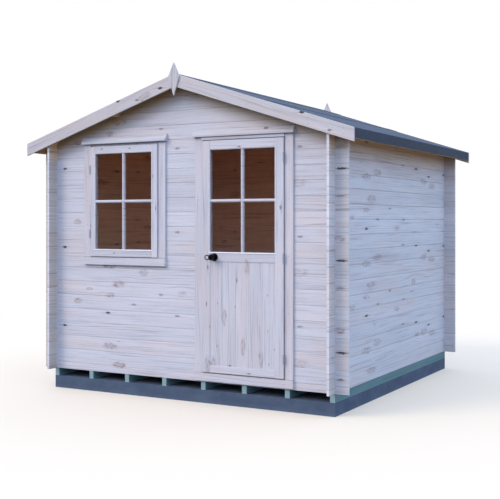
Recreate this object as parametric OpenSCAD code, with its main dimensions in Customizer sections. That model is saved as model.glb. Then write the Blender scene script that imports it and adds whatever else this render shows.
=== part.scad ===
// Garden log cabin: interlocking logs on bearers and a plinth, with a felted gable roof.
// +X is to the right of someone facing the door, +Y to the back and +Z up.
// The origin is the middle of the plan on the underside of the plinth. All sizes are in millimetres.

/* [Walls] */
// Width over the outer faces of the side walls
wall_w = 2490; // [2200:10:3200]
// Depth over the outer faces of the front and back walls
wall_d = 2490; // [2000:10:3600]
// Number of full logs in a side wall
side_courses = 17; // [17:1:19]

/* [Logs] */
// Height that one log adds to the wall
log_cover = 110; // [105:1:125]
// Thickness of a log
log_t = 19; // [17:1:34]
// Length that a log runs on past the crossing wall
log_end = 100; // [60:1:105]
// Chamfer along the log edges
log_chamfer = 2.5; // [1:0.5:4]
// Thickness of the tongue on top of a log
tongue_w = 6; // [4:0.5:8]
// Height of the tongue on top of a log
tongue_h = 7; // [4:0.5:10]

/* [Base] */
// Height of the plinth
plinth_h = 98; // [50:1:200]
// Width of a floor bearer
bearer_w = 38; // [30:1:60]
// Height of a floor bearer
bearer_h = 60; // [40:1:100]
// Number of floor bearers
bearer_count = 8; // [4:1:10]
// Thickness of the floor
floor_t = 18; // [12:1:28]

/* [Roof] */
// Pitch of the roof in degrees
roof_pitch = 18; // [14:0.5:24]
// Thickness of the roof deck
deck_t = 16; // [12:1:22]
// Thickness of the roofing felt
felt_t = 3; // [2:0.5:5]
// Reach of the eaves past the side walls
side_overhang = 191; // [150:1:260]
// Reach of the barge boards past the front and back walls
gable_overhang = 125; // [122:1:200]
// Plumb height of a barge board
barge_h = 97; // [80:1:130]
// Thickness of a barge board
barge_t = 16; // [12:1:20]
// Plumb height of the eaves board under the deck
eaves_board_h = 54; // [30:1:70]
// Thickness of the eaves board
eaves_board_t = 16; // [12:1:22]
// Width of a purlin
purlin_w = 36; // [28:1:50]
// Height of a purlin
purlin_h = 62; // [50:1:90]
// Distance of a side purlin from the ridge line
side_purlin_x = 610; // [500:5:950]
// Reach of the ridge felt down each slope
ridge_felt_w = 160; // [100:5:300]

/* [Finials] */
// Width of a finial
finial_w = 96; // [60:1:130]
// Height of a finial above its widest line
finial_up = 103; // [60:1:130]
// Height of a finial below its widest line
finial_down = 143; // [90:1:180]
// Thickness of a finial
finial_t = 12; // [8:1:18]
// Height of the tip above the roof at the ridge
finial_rise = 79; // [40:1:100]

/* [Door] */
// Distance of the middle of the door from the middle of the front
door_x = 521; // [430:1:560]
// Width of the door leaf
leaf_w = 678; // [600:1:760]
// Thickness of the door leaf
leaf_t = 36; // [30:1:44]
// Distance that the leaf stands proud of the front wall
leaf_proud = 30; // [24:1:34]
// Distance of the hood's foot above the door lining
door_hood_lift = 7; // [0:1:15]
// Clearance round the leaf
leaf_gap = 5; // [5:0.5:8]
// Width of a door stile
stile_w = 69; // [55:1:95]
// Height of the top rail
top_rail_h = 68; // [50:1:90]
// Height of the lock rail
lock_rail_h = 71; // [66:1:110]
// Height of the bottom rail
bottom_rail_h = 52; // [40:1:120]
// Height of the lock rail's middle above the foot of the leaf
lock_rail_z = 855; // [700:5:1000]
// Thickness of the boarded panel
panel_t = 16; // [10:1:18]
// Distance of the boarded panel behind the face of the leaf
panel_set = 4; // [4:0.5:10]

/* [Window] */
// Distance of the middle of the window from the middle of the front
window_x = -545; // [-620:1:-480]
// Width of the sash
sash_w = 643; // [500:1:660]
// Height of the sash
sash_h = 868; // [600:1:960]
// Thickness of the sash
sash_t = 34; // [28:1:44]
// Distance that the sash stands proud of the front wall
sash_proud = 28; // [20:1:34]
// Clearance round the sash
sash_gap = 3; // [2:0.5:6]
// Width of the sash's stiles
sash_stile_w = 52; // [40:1:70]
// Height of the sash's rails
sash_rail_h = 58; // [40:1:70]
// Distance of the window's head below the door's
window_drop = 7; // [0:1:20]

/* [Joinery] */
// Thickness of the door and window linings
lining_t = 19; // [14:1:26]
// Depth of the door and window linings
lining_d = 45; // [40:1:70]
// Width of the door stops
stop_w = 12; // [8:1:20]
// Width of the trims beside the door and the window
trim_w = 65; // [45:1:75]
// Thickness of the trims
trim_t = 16; // [12:1:20]
// Height of the sill boards
sill_h = 63; // [50:1:70]
// Thickness of the sill boards
sill_t = 24; // [18:1:32]
// Height of the hoods
hood_h = 54; // [40:1:75]
// Reach of the hoods from the wall
hood_reach = 42; // [34:1:60]
// Overlap of a hood past the trims at each end
hood_over = 12; // [0:1:40]
// Thickness of the glass
glass_t = 4; // [3:0.5:6]
// Depth of the grooves that hold the glass and the panel
groove_d = 8; // [5:0.5:12]
// Chamfer along the edges of the boards
edge_ease = 1.5; // [0.5:0.5:3]

/* [Hardware] */
// Height of a hinge
hinge_h = 68; // [50:1:90]
// Radius of a hinge knuckle
knuckle_r = 5; // [4:0.5:7]
// Radius of a hinge pin
pin_r = 2.5; // [2:0.25:3]
// Thickness of a hinge flap
flap_t = 2; // [1.5:0.1:2.2]
// Distance of the outer door hinges from the ends of the leaf
hinge_inset = 140; // [100:5:200]
// Distance of the window hinges from the ends of the sash
sash_hinge_inset = 180; // [120:5:220]
// Radius of the rose behind the knob
rose_r = 29.5; // [20:0.5:32]
// Thickness of the rose
rose_t = 7; // [5:0.5:10]
// Radius of the knob
knob_r = 24; // [18:0.5:28]
// Radius of the knob's neck
neck_r = 8; // [6:0.5:10]
// Length of the knob's neck in front of the leaf
neck_l = 24; // [18:1:30]
// Distance of the knob's axis from the leaf's free edge
knob_inset = 108; // [60:1:120]
// Distance of the knob's axis below the middle of the lock rail
knob_drop = 3; // [0:0.5:3]
// Length of the key's stem in front of the knob
key_stem_l = 12; // [6:1:16]
// Radius of the key ring to the middle of its wire
key_ring_r = 17; // [9:0.5:20]
// Radius of the wire of the key ring
key_wire_r = 2.5; // [1.5:0.25:3]

/* [Fits] */
// Hairline gap between neighbouring pieces
hairline = 0.3; // [0.2:0.05:0.4]
// Side clearance of the tongues in their grooves
tongue_play = 0.4; // [0.2:0.1:0.6]
// Running clearance of the pins
pin_play = 0.3; // [0.2:0.05:0.4]
// Gap between the floor and the walls
floor_gap = 4; // [2:0.5:10]

/* [Hidden] */
$fn = 48;

// Levels
wall_base = plinth_h + bearer_h;
half_cover = log_cover / 2;
quarter_cover = log_cover / 4;
eaves_z = wall_base + side_courses * log_cover;
opening_top = eaves_z - half_cover;
floor_top = wall_base + floor_t;

// Roof lines, measured plumb
slope = tan(roof_pitch);
deck_plumb = deck_t / cos(roof_pitch);
felt_plumb = felt_t / cos(roof_pitch);
roof_top = deck_plumb + felt_plumb;
eaves_x = wall_w / 2 + side_overhang;
deck_x = eaves_x - felt_t;
deck_l = wall_d + 2 * (gable_overhang - barge_t);
apex_z = eaves_z + wall_w / 2 * slope;
gable_rows = max(1, floor((apex_z - opening_top) / log_cover));
lap_h = deck_plumb + eaves_board_h;

// Front wall
front_y = -wall_d / 2;
leaf_x0 = door_x - leaf_w / 2;
leaf_x1 = door_x + leaf_w / 2;
leaf_y = front_y - leaf_proud;
door_x0 = leaf_x0 - leaf_gap - lining_t;
door_x1 = leaf_x1 + leaf_gap + lining_t;
door_z0 = wall_base + half_cover;
door_hood_z = opening_top + door_hood_lift;
leaf_z0 = door_z0 + lining_t + leaf_gap;
leaf_z1 = opening_top - lining_t - leaf_gap;
sash_x0 = window_x - sash_w / 2;
sash_x1 = window_x + sash_w / 2;
sash_y = front_y - sash_proud;
window_top = opening_top - window_drop;
sash_z1 = window_top - lining_t - sash_gap;
sash_z0 = sash_z1 - sash_h;
window_x0 = sash_x0 - sash_gap - lining_t;
window_x1 = sash_x1 + sash_gap + lining_t;
window_z0 = sash_z0 - sash_gap - lining_t;
sill_course = floor((window_z0 - wall_base) / log_cover + 0.5);
top_course = side_courses - 1;

// Door leaf
lock_z0 = leaf_z0 + lock_rail_z - lock_rail_h / 2;
lock_z1 = lock_z0 + lock_rail_h;
panel_y = leaf_y + panel_set;
door_glass_y = leaf_y + (leaf_t - glass_t) / 2;
sash_glass_y = sash_y + (sash_t - glass_t) / 2;

// Hinge pins and knob
pin_x = leaf_x1 + leaf_gap / 2;
pin_y = leaf_y - knuckle_r - 2 * hairline;
flap_d = 24;
knuckle_h = hinge_h / 3;
hinge_zs = [leaf_z0 + hinge_inset, (leaf_z0 + leaf_z1) / 2, leaf_z1 - hinge_inset];
window_hinge_zs = [sash_z0 + sash_hinge_inset, sash_z1 - sash_hinge_inset];
window_pin_x = sash_x0 - sash_gap / 2;
window_pin_y = sash_y - knuckle_r - hairline;
knob_x = leaf_x0 + knob_inset;
knob_z = (lock_z0 + lock_z1) / 2 - knob_drop;
knob_l = 1.7 * knob_r;

// Colours
timber = [0.80, 0.80, 0.86];
inner_timber = [0.62, 0.45, 0.32];
treated_timber = [0.47, 0.62, 0.64];
felt_blue = [0.40, 0.48, 0.60];
slate_grey = [0.31, 0.36, 0.45];
pane = [0.75, 0.82, 0.85, 0.4];
hinge_grey = [0.33, 0.34, 0.36];
black_iron = [0.06, 0.06, 0.07];

// Height of the underside of the roof deck at a distance from the ridge line
function deck_z(x) = eaves_z + (wall_w / 2 - abs(x)) * slope;

// Small helpers

module block(x0, x1, y0, y1, z0, z1) {
    translate([x0, y0, z0]) cube([x1 - x0, y1 - y0, z1 - z0]);
}

// Draws a profile given as (x, z) and sweeps it along Y from y0 to y1
module sweep_y(y0, y1) {
    translate([0, y1, 0]) rotate([90, 0, 0]) linear_extrude(y1 - y0) children();
}

// Draws a profile given as (y, z) and sweeps it along X from x0 to x1
module sweep_x(x0, x1) {
    translate([x0, 0, 0]) rotate([90, 0, 90]) linear_extrude(x1 - x0) children();
}

// Rectangle with eased corners
module eased_rect(a0, a1, b0, b1) {
    e = edge_ease;
    polygon([
        [a0 + e, b0], [a1 - e, b0], [a1, b0 + e], [a1, b1 - e],
        [a1 - e, b1], [a0 + e, b1], [a0, b1 - e], [a0, b0 + e]
    ]);
}

// Upright board with eased edges
module upright(x0, x1, y0, y1, z0, z1) {
    translate([0, 0, z0]) linear_extrude(z1 - z0) eased_rect(x0, x1, y0, y1);
}

// Level board along X with eased edges
module level_board(x0, x1, y0, y1, z0, z1) {
    sweep_x(x0, x1) eased_rect(y0, y1, z0, z1);
}

module both_sides() {
    children();
    mirror([1, 0, 0]) children();
}

module both_ends() {
    children();
    mirror([0, 1, 0]) children();
}

// Logs

// Cross-section of a log of height h that stands on z = 0, its outer face on the left.
// The top edge can rise towards the inside, to meet the roof.
module log_section(h, groove = true, tongue = true, rise = 0) {
    c = log_chamfer;
    mid = log_t / 2;
    groove_w = tongue_w / 2 + tongue_play;
    groove_h = hairline + tongue_h + tongue_play;
    difference() {
        polygon([
            [0, hairline + c], [c, hairline], [log_t - c, hairline], [log_t, hairline + c],
            [log_t, h + rise - c], [log_t - c, h + rise * (1 - c / log_t)], [c, h], [0, h - c]
        ]);
        if (groove) translate([mid - groove_w, 0]) square([2 * groove_w, groove_h]);
    }
    if (tongue) translate([mid - tongue_w / 2, h - c]) square([tongue_w, tongue_h + c]);
}

// The space that the crossing side walls take out of a front or back log between two heights
module side_wall_notch(z0, z1) {
    both_sides()
        block(wall_w / 2 - log_t - hairline, wall_w / 2 + hairline,
            -wall_d, wall_d, z0, z1);
}

// The space that the crossing end walls take out of a side log between two heights
module end_wall_notch(z0, z1) {
    both_ends()
        block(-wall_w, wall_w,
            wall_d / 2 - log_t - hairline, wall_d / 2 + hairline, z0, z1);
}

// Cuts the log that stands at z0 with height h down to the part between its two notches
module end_log_notches(z0, h, lower = true, upper = true) {
    if (lower) side_wall_notch(z0 - log_cover, z0 + quarter_cover + hairline / 2);
    if (upper) side_wall_notch(z0 + h - quarter_cover - hairline / 2, z0 + h + log_cover);
}

// A log of the front wall between two places across the wall
module front_log(x0, x1, z0, h, groove = true, tongue = true) {
    translate([0, front_y, z0]) sweep_x(x0, x1) log_section(h, groove, tongue);
}

end_x = wall_w / 2 + log_end;
function course_z(k) = wall_base + (k - 0.5) * log_cover;

// Half log at the foot of the front wall
module foot_log() {
    difference() {
        front_log(-end_x, end_x, wall_base, half_cover, groove = false);
        end_log_notches(wall_base, half_cover, lower = false);
        children();
    }
}

// Whole logs of one wall between two courses and two places across it
module front_courses(k0, k1, x0, x1) {
    for (k = [k0:1:k1]) {
        difference() {
            front_log(x0, x1, course_z(k), log_cover);
            end_log_notches(course_z(k), log_cover);
            front_openings();
        }
    }
}

// Clear spaces in the front wall for the door lining and the window lining
module front_openings() {
    reach = lining_d;
    block(door_x0 - hairline, door_x1 + hairline, front_y - reach, front_y + reach,
        door_z0, opening_top + hairline);
    block(window_x0 - hairline, window_x1 + hairline, front_y - reach, front_y + reach,
        window_z0 - hairline, opening_top + hairline);
}

// Triangle under the roof deck, with a hairline to spare
module under_roof() {
    sweep_y(-wall_d, wall_d)
        polygon([
            [-eaves_x, wall_base], [eaves_x, wall_base],
            [eaves_x, deck_z(eaves_x) - hairline], [0, apex_z - hairline],
            [-eaves_x, deck_z(eaves_x) - hairline]
        ]);
}

// Seats of the purlins in the gables
module purlin_seats() {
    sweep_y(-wall_d, wall_d) {
        purlin_profile(0, hairline);
        both_sides_2d() purlin_profile(side_purlin_x, hairline);
    }
}

module both_sides_2d() {
    children();
    mirror([1, 0]) children();
}

// Cross-section of a purlin, its top cut to the slope a hairline under the deck, grown by a margin
module purlin_profile(x, margin) {
    x0 = x - purlin_w / 2 - margin;
    x1 = x + purlin_w / 2 + margin;
    drop = hairline - margin;
    foot = deck_z(x) - purlin_h - margin;
    polygon([
        [x0, foot], [x1, foot],
        [x1, deck_z(x1) - drop], [x, deck_z(x) - drop], [x0, deck_z(x0) - drop]
    ]);
}

// Logs of the front gable, cut to the roof; the top one runs up to the ridge
module gable_logs() {
    for (k = [0:1:gable_rows - 1]) {
        z0 = opening_top + k * log_cover;
        top = k == gable_rows - 1;
        h = top ? apex_z - z0 + log_chamfer : log_cover;
        difference() {
            intersection() {
                front_log(-end_x, end_x, z0, h, tongue = !top);
                under_roof();
            }
            end_log_notches(z0, log_cover, upper = false);
            purlin_seats();
        }
    }
}

// Side wall on the right: full logs, the top one planed to the roof
module side_logs() {
    for (j = [0:1:side_courses - 1]) {
        z0 = wall_base + j * log_cover;
        top = j == side_courses - 1;
        difference() {
            translate([wall_w / 2, 0, z0]) mirror([1, 0, 0])
                sweep_y(front_y - log_end, -front_y + log_end)
                    log_section(
                        log_cover - (top ? hairline : 0), groove = j > 0, tongue = !top,
                        rise = top ? log_t * slope : 0
                    );
            end_wall_notch(z0 - log_cover, z0 + quarter_cover + hairline / 2);
            end_wall_notch(z0 + log_cover - quarter_cover - hairline / 2, z0 + 2 * log_cover);
        }
    }
}

module right_wall() {
    color(timber) side_logs();
}

module left_wall() {
    color(timber) mirror([1, 0, 0]) side_logs();
}

module back_wall() {
    color(timber) mirror([0, 1, 0]) {
        foot_log();
        for (k = [1:1:top_course]) {
            difference() {
                front_log(-end_x, end_x, course_z(k), log_cover);
                end_log_notches(course_z(k), log_cover);
            }
        }
    }
}

module back_gable() {
    color(timber) mirror([0, 1, 0]) gable_logs();
}

module front_wall_lower() {
    color(timber) {
        foot_log() front_openings();
        front_courses(1, sill_course, -end_x, door_x0 - hairline);
    }
}

module front_wall_left() {
    color(timber) front_courses(sill_course + 1, top_course, -end_x, window_x0 - hairline);
}

module front_wall_middle() {
    color(timber)
        front_courses(sill_course + 1, top_course, window_x1 + hairline, door_x0 - hairline);
}

module front_wall_right() {
    color(timber) front_courses(1, top_course, door_x1 + hairline, end_x);
}

module front_gable() {
    color(timber) gable_logs();
}

// Base and floor

module plinth() {
    color(slate_grey) block(-wall_w / 2, wall_w / 2, -wall_d / 2, wall_d / 2, 0, plinth_h);
}

module bearers() {
    step = (wall_w - bearer_w) / (bearer_count - 1);
    color(treated_timber)
        for (i = [0:1:bearer_count - 1]) {
            x = -wall_w / 2 + i * step;
            block(x, x + bearer_w, -wall_d / 2, wall_d / 2, plinth_h, wall_base);
        }
}

module floor() {
    half_w = wall_w / 2 - log_t - floor_gap;
    half_d = wall_d / 2 - log_t - floor_gap;
    color(inner_timber) block(-half_w, half_w, -half_d, half_d, wall_base, floor_top);
}

// Roof

// Part of the right slope between two distances from the ridge and two plumb heights over the deck's underside
module slope_profile(x0, x1, lift0, lift1) {
    polygon([
        [x0, deck_z(x0) + lift0], [x1, deck_z(x1) + lift0],
        [x1, deck_z(x1) + lift1], [x0, deck_z(x0) + lift1]
    ]);
}

module ridge_purlin() {
    color(inner_timber) sweep_y(-deck_l / 2, deck_l / 2) purlin_profile(0, 0);
}

module side_purlins() {
    color(inner_timber)
        sweep_y(-deck_l / 2, deck_l / 2) both_sides_2d() purlin_profile(side_purlin_x, 0);
}

module deck() {
    color(inner_timber)
        sweep_y(-deck_l / 2, deck_l / 2) slope_profile(hairline / 2, deck_x, 0, deck_plumb);
}

module roof_deck_right() {
    deck();
}

module roof_deck_left() {
    mirror([1, 0, 0]) deck();
}

module eaves_boards() {
    color(inner_timber)
        both_sides()
            sweep_y(-deck_l / 2, deck_l / 2)
                polygon([
                    [deck_x - eaves_board_t, deck_z(deck_x - eaves_board_t)], [deck_x, deck_z(deck_x)],
                    [deck_x, deck_z(deck_x) - eaves_board_h],
                    [deck_x - eaves_board_t, deck_z(deck_x) - eaves_board_h]
                ]);
}

// Felt over one slope, folded down over the eaves board
module felt() {
    color(felt_blue)
        sweep_y(-deck_l / 2, deck_l / 2)
            polygon([
                [hairline / 2, deck_z(hairline / 2) + deck_plumb], [deck_x, deck_z(deck_x) + deck_plumb],
                [deck_x, deck_z(deck_x) + deck_plumb - lap_h],
                [eaves_x, deck_z(deck_x) + deck_plumb - lap_h],
                [eaves_x, deck_z(eaves_x) + roof_top], [hairline / 2, deck_z(hairline / 2) + roof_top]
            ]);
}

module roof_felt_right() {
    felt();
}

module roof_felt_left() {
    mirror([1, 0, 0]) felt();
}

// Strip of felt bent over the ridge
module ridge_felt() {
    foot_z = deck_z(ridge_felt_w) + roof_top;
    ridge_z = apex_z + roof_top;
    color(felt_blue)
        sweep_y(-deck_l / 2, deck_l / 2)
            polygon([
                [-ridge_felt_w, foot_z], [0, ridge_z], [ridge_felt_w, foot_z],
                [ridge_felt_w, foot_z + felt_plumb], [0, ridge_z + felt_plumb],
                [-ridge_felt_w, foot_z + felt_plumb]
            ]);
}

// Pair of barge boards in front of the deck, mitred at the ridge
module barges() {
    y0 = front_y - gable_overhang;
    ridge_z = apex_z + roof_top;
    reach = eaves_x / cos(roof_pitch);
    color(timber)
        both_sides()
            intersection() {
                translate([0, 0, ridge_z]) rotate([0, roof_pitch, 0])
                    level_board(-barge_h, reach + barge_h, y0, y0 + barge_t,
                        -barge_h * cos(roof_pitch), 0);
                block(hairline / 2, eaves_x, y0 - barge_t, y0 + 2 * barge_t, wall_base, ridge_z);
            }
}

module front_barges() {
    barges();
}

module back_barges() {
    mirror([0, 1, 0]) barges();
}

// Diamond board that covers the mitre of the barge boards
module finial() {
    tip = apex_z + roof_top + finial_rise;
    middle = tip - finial_up;
    color(timber)
        sweep_y(front_y - gable_overhang - finial_t, front_y - gable_overhang - hairline)
            polygon([
                [0, tip], [-finial_w / 2, middle], [0, middle - finial_down], [finial_w / 2, middle]
            ]);
}

module front_finial() {
    finial();
}

module back_finial() {
    mirror([0, 1, 0]) finial();
}

// Door and window linings, trims, sills and hoods

// Four boards round an opening, the upright ones between the other two; the head may be thicker
module lining(x0, x1, z0, z1, head_t) {
    y0 = front_y;
    y1 = front_y + lining_d;
    for (x = [x0, x1 - lining_t]) {
        block(x, x + lining_t, y0, y1, z0 + lining_t + hairline, z1 - head_t - hairline);
    }
    block(x0, x1, y0, y1, z0 + hairline, z0 + lining_t);
    block(x0, x1, y0, y1, z1 - head_t, z1);
}

// Two upright boards on the wall, flush with the inside of a lining
module trims(x0, x1, z0, z1) {
    for (x = [x0 + lining_t - trim_w, x1 - lining_t]) {
        upright(x, x + trim_w, front_y - trim_t, front_y, z0, z1);
    }
}

// Board under an opening, its upper front edge sloped to shed water
module sill_board(x0, x1, z1) {
    run_off = 6;
    sweep_x(x0 + lining_t - trim_w, x1 - lining_t + trim_w)
        polygon([
            [front_y, z1 - sill_h], [front_y - sill_t + edge_ease, z1 - sill_h],
            [front_y - sill_t, z1 - sill_h + edge_ease], [front_y - sill_t, z1 - run_off],
            [front_y - sill_t + run_off, z1], [front_y, z1]
        ]);
}

// Weather board over an opening, with a nose at its foot
module hood(x0, x1, z0) {
    nose_h = 12;
    back_t = 9;
    sweep_x(x0 + lining_t - trim_w - hood_over, x1 - lining_t + trim_w + hood_over)
        polygon([
            [front_y, z0], [front_y - hood_reach, z0], [front_y - hood_reach, z0 + nose_h],
            [front_y - back_t, z0 + hood_h], [front_y, z0 + hood_h]
        ]);
}

module door_frame() {
    color(timber) lining(door_x0, door_x1, door_z0, opening_top, lining_t);
}

// Strips inside the lining that the closed leaf stands against
module door_stops() {
    y0 = leaf_y + leaf_t + leaf_gap;
    y1 = front_y + lining_d;
    x0 = door_x0 + lining_t;
    x1 = door_x1 - lining_t;
    z1 = opening_top - lining_t;
    color(timber) {
        for (x = [x0, x1 - stop_w]) {
            block(x, x + stop_w, y0, y1, door_z0 + lining_t, z1 - stop_w - hairline);
        }
        block(x0, x1, y0, y1, z1 - stop_w, z1);
    }
}

module door_trims() {
    color(timber) trims(door_x0, door_x1, door_z0 + lining_t, door_hood_z);
}

module door_sill() {
    color(timber) sill_board(door_x0, door_x1, door_z0 + lining_t);
}

module door_hood() {
    color(timber) hood(door_x0, door_x1, door_hood_z);
}

module window_frame() {
    color(timber) lining(window_x0, window_x1, window_z0, opening_top, lining_t + window_drop);
}

module window_trims() {
    color(timber) trims(window_x0, window_x1, window_z0 + lining_t, window_top);
}

module window_sill() {
    color(timber) sill_board(window_x0, window_x1, window_z0 + lining_t);
}

module window_hood() {
    color(timber) hood(window_x0, window_x1, window_top);
}

// Glazed sash and door leaf

// Sheet held in grooves all round an opening of the given size
module held_sheet(x0, x1, y0, t, z0, z1, margin) {
    grip = groove_d - hairline + margin;
    block(x0 - grip, x1 + grip, y0 - margin, y0 + t + margin, z0 - grip, z1 + grip);
}

// Two stiles with rails between them; each rail is given as [foot, head]
module stiles_and_rails(x0, x1, y0, t, z0, z1, stile, rails) {
    for (x = [x0, x1 - stile]) {
        upright(x, x + stile, y0, y0 + t, z0, z1);
    }
    for (rail = rails) {
        level_board(x0 + stile + hairline, x1 - stile - hairline, y0, y0 + t, rail[0], rail[1]);
    }
}

module sash_sheet(margin) {
    held_sheet(sash_x0 + sash_stile_w, sash_x1 - sash_stile_w, sash_glass_y, glass_t,
        sash_z0 + sash_rail_h, sash_z1 - sash_rail_h, margin);
}

module window_sash() {
    color(timber) difference() {
        stiles_and_rails(sash_x0, sash_x1, sash_y, sash_t, sash_z0, sash_z1, sash_stile_w,
            [[sash_z0, sash_z0 + sash_rail_h], [sash_z1 - sash_rail_h, sash_z1]]);
        sash_sheet(hairline);
    }
}

module window_glass() {
    color(pane) sash_sheet(0);
}

module panel_sheet(margin) {
    held_sheet(leaf_x0 + stile_w, leaf_x1 - stile_w, panel_y, panel_t,
        leaf_z0 + bottom_rail_h, lock_z0, margin);
}

module leaf_pane(margin) {
    held_sheet(leaf_x0 + stile_w, leaf_x1 - stile_w, door_glass_y, glass_t,
        lock_z1, leaf_z1 - top_rail_h, margin);
}

module door_leaf() {
    color(timber) difference() {
        stiles_and_rails(leaf_x0, leaf_x1, leaf_y, leaf_t, leaf_z0, leaf_z1, stile_w,
            [[leaf_z0, leaf_z0 + bottom_rail_h], [lock_z0, lock_z1], [leaf_z1 - top_rail_h, leaf_z1]]);
        panel_sheet(hairline);
        leaf_pane(hairline);
    }
}

module door_panel() {
    color(timber) panel_sheet(0);
}

module door_glass() {
    color(pane) leaf_pane(0);
}

// Hinges, knob and key

module knuckle(z0, z1) {
    translate([pin_x, pin_y, z0]) cylinder(h = z1 - z0, r = knuckle_r);
}

// Flap of a hinge in the gap beside the leaf, with tabs that reach forward to its knuckles
module flap(x0, z, tabs) {
    y0 = pin_y + pin_r + 2 * pin_play;
    block(x0, x0 + flap_t, leaf_y, leaf_y + flap_d, z - hinge_h / 2, z + hinge_h / 2);
    for (tab = tabs) {
        block(x0, x0 + flap_t, y0, leaf_y + hairline, tab[0], tab[1]);
    }
}

// Halves on the trim: the outer knuckles, the pin and a flap on the edge of the trim
module door_hinges_fixed() {
    color(hinge_grey)
        for (z = hinge_zs) {
            foot = z - hinge_h / 2;
            head = z + hinge_h / 2;
            low = [foot, foot + knuckle_h - hairline];
            high = [head - knuckle_h + hairline, head];
            knuckle(low[0], low[1]);
            knuckle(high[0], high[1]);
            translate([pin_x, pin_y, foot]) cylinder(h = hinge_h, r = pin_r);
            flap(leaf_x1 + leaf_gap - flap_t, z, [low, high]);
        }
}

// Halves on the leaf: the middle knuckle with its bore and a flap on the edge of the leaf
module door_hinges_moving() {
    color(hinge_grey)
        for (z = hinge_zs) {
            foot = z - knuckle_h / 2 + hairline;
            head = z + knuckle_h / 2 - hairline;
            difference() {
                union() {
                    knuckle(foot, head);
                    flap(leaf_x1, z, [[foot, head]]);
                }
                translate([pin_x, pin_y, z - hinge_h / 2]) cylinder(h = hinge_h, r = pin_r + pin_play);
            }
        }
}

// Fixed hinges of the window: a barrel with its closed flaps between the sash and the trim
module window_hinges() {
    color(hinge_grey)
        for (z = window_hinge_zs) {
            foot = z - hinge_h / 2;
            translate([window_pin_x, window_pin_y, foot]) cylinder(h = hinge_h, r = knuckle_r);
            block(sash_x0 - sash_gap, sash_x0 - hairline, window_pin_y, sash_y + flap_d,
                foot, foot + hinge_h);
        }
}

// Turns a profile given as (radius, distance in front of the leaf) about the knob's axis
module turned() {
    translate([knob_x, leaf_y, knob_z]) rotate([90, 0, 0]) rotate_extrude() children();
}

module door_rose() {
    edge = 2;
    bore = neck_r + pin_play;
    color(black_iron)
        turned()
            polygon([
                [bore, 0], [rose_r, 0], [rose_r, rose_t - 2 * edge], [rose_r - edge, rose_t - edge / 2],
                [rose_r - 3 * edge, rose_t], [bore, rose_t]
            ]);
}

// Round knob on its neck, flattened in front
module door_knob() {
    color(black_iron)
        turned() {
            translate([0, hairline]) square([neck_r, neck_l]);
            translate([0, neck_l - hairline])
                intersection() {
                    translate([0, knob_l / 2]) circle(r = knob_r);
                    square([knob_r, knob_l]);
                }
        }
}

// Key left in the knob: its stem, with a ring hooked to one side of the stem's end
module door_key() {
    color(black_iron)
        translate([knob_x, leaf_y - neck_l - knob_l, knob_z]) {
            rotate([90, 0, 0]) cylinder(h = key_stem_l, r = key_wire_r);
            translate([-key_ring_r, -key_stem_l, 0])
                rotate([90, 0, 0]) rotate_extrude() translate([key_ring_r, 0]) circle(r = key_wire_r);
        }
}

plinth();
bearers();
floor();
left_wall();
right_wall();
back_wall();
back_gable();
front_wall_lower();
front_wall_left();
front_wall_middle();
front_wall_right();
front_gable();
ridge_purlin();
side_purlins();
roof_deck_left();
roof_deck_right();
eaves_boards();
roof_felt_left();
roof_felt_right();
ridge_felt();
front_barges();
back_barges();
front_finial();
back_finial();
door_frame();
door_stops();
door_trims();
door_sill();
door_hood();
door_hinges_fixed();
window_frame();
window_trims();
window_sill();
window_hood();
window_sash();
window_glass();
window_hinges();
door_leaf();
door_panel();
door_glass();
door_hinges_moving();
door_rose();
door_knob();
door_key();
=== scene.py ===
"""Looks of the garden log cabin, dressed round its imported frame. All sizes are in metres."""

import math
import random
from collections import namedtuple

import bmesh
import bpy
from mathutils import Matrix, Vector


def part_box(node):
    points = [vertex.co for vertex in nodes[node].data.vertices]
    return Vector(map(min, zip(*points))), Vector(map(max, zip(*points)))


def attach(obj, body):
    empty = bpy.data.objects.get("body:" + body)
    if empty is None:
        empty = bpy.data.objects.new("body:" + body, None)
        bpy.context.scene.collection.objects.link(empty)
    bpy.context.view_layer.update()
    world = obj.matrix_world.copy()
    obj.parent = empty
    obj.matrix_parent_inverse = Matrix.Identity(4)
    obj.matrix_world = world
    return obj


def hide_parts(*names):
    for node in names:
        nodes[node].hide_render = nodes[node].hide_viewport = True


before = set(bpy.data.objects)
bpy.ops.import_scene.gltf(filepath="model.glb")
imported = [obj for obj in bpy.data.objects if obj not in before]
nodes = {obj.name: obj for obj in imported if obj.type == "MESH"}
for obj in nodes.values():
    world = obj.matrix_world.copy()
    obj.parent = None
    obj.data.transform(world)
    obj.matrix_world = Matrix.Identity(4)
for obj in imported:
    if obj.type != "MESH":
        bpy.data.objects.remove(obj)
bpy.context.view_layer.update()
rng = random.Random(7)

# Camera of the photograph, in its own pixels
PHOTO_W = 500
PHOTO_H = 499
FOCAL_PX = 946.7
HORIZON_PY = 221.5
CAMERA_AT = (3.899, -7.250, 1.352)
CAMERA_YAW = 0.50576
SENSOR_W = 36.0

# Sizes that the frame's boxes don't give by themselves
LOG_COVER = 0.110
ROOF_PITCH = math.radians(18)
DECK_T = 0.016
FELT_T = 0.003
STILE_W = 0.069
SASH_STILE_W = 0.052
TRIM_W = 0.065
BARGE_H = 0.097
HAIR = 0.0003

# Outlines and levels of the cabin
half_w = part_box("plinth")[1].x
half_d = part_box("plinth")[1].y
wall_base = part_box("bearers")[1].z
log_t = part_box("front_wall_middle")[1].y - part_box("front_wall_middle")[0].y
room_half = half_w - log_t
slope = math.tan(ROOF_PITCH)
deck_low, deck_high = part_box("roof_deck_right")
ridge_z = deck_low.z + deck_high.x * slope
deck_plumb = DECK_T / math.cos(ROOF_PITCH)
felt_plumb = FELT_T / math.cos(ROOF_PITCH)


def deck_z(x):
    """Height of the underside of the roof deck at a distance from the ridge line."""
    return ridge_z - abs(x) * slope


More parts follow.
